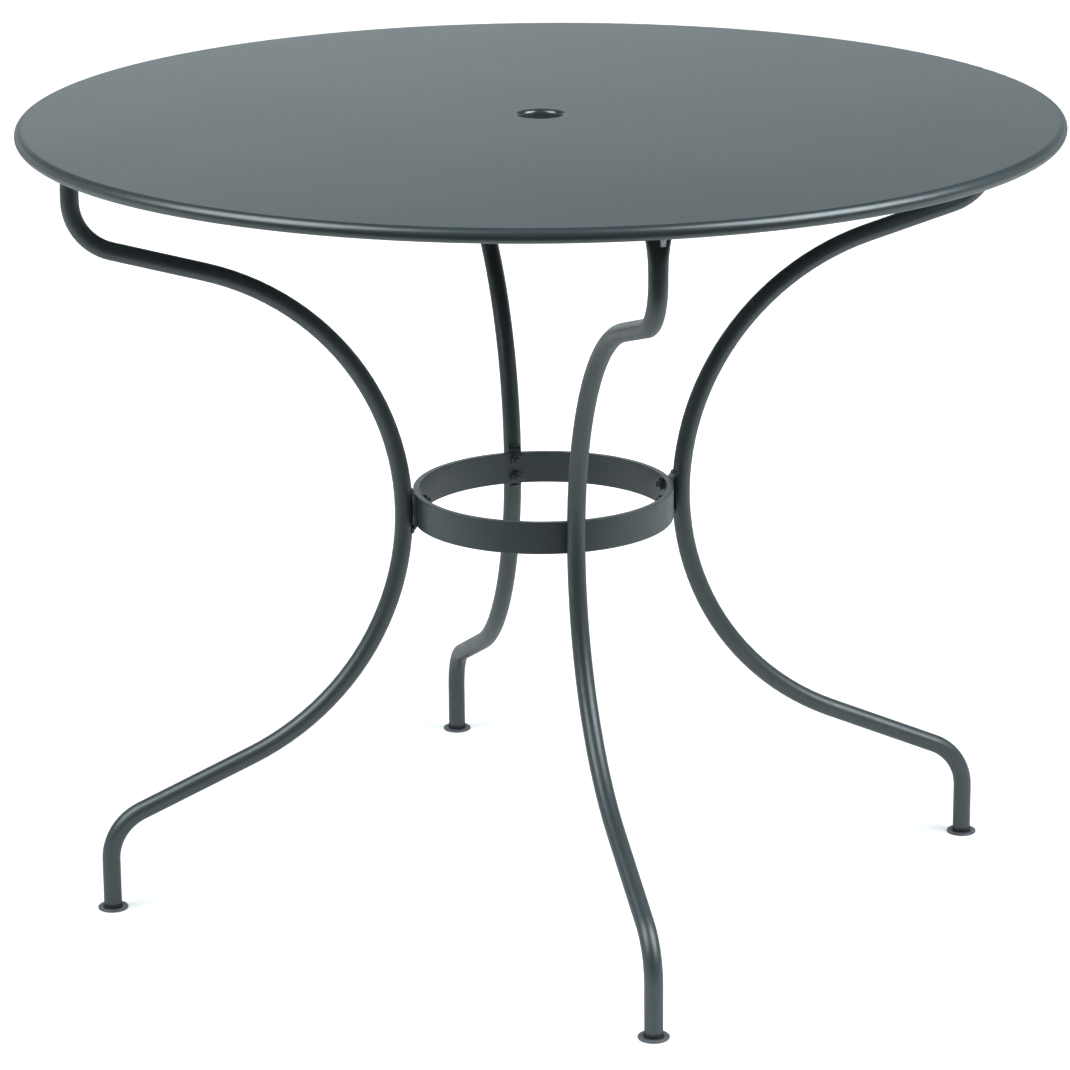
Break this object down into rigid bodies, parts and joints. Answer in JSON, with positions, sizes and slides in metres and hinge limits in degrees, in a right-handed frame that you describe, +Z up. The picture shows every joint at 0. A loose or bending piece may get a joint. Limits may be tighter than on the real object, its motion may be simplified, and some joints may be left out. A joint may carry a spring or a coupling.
{
  "type": "round garden table",
  "caption": "Round sheet-steel patio table with a rolled rim and a parasol hole, on bowed tube legs joined at the waist by a flat-bar ring.",
  "frame": {"origin": "on the floor under the centre of the tabletop", "axes": "+Z up along the table's axis, legs on the +X, +Y, -X and -Y sides"},
  "size_m": [0.96, 0.96, 0.74],
  "materials": {
    "top_paint": "smooth satin powder coat, iron grey",
    "frame_paint": "satin powder coat with a fine orange peel, iron grey",
    "plain_steel": "bare drawn steel",
    "zinc_steel": "bright zinc plating",
    "glide_plastic": "moulded plastic, dark grey, fine matt texture"
  },
  "bodies": {
    "root": {"back_foot_glide": "glide_plastic", "back_leg": "frame_paint", "back_ring_bracket": "frame_paint", "back_top_channel": "top_paint", "front_foot_glide": "glide_plastic", "front_leg": "frame_paint", "front_ring_bracket": "frame_paint", "front_top_channel": "top_paint", "left_foot_glide": "glide_plastic", "left_leg": "frame_paint", "left_ring_bracket": "frame_paint", "left_top_channel": "top_paint", "right_foot_glide": "glide_plastic", "right_leg": "frame_paint", "right_ring_bracket": "frame_paint", "right_top_channel": "top_paint", "rim_hoop": "plain_steel", "ring_nuts": "frame_paint", "ring_studs": "frame_paint", "tabletop": "top_paint", "top_nuts": "zinc_steel", "top_studs": "zinc_steel", "top_washers": "zinc_steel", "waist_ring": "frame_paint"}
  },
  "joints": []
}
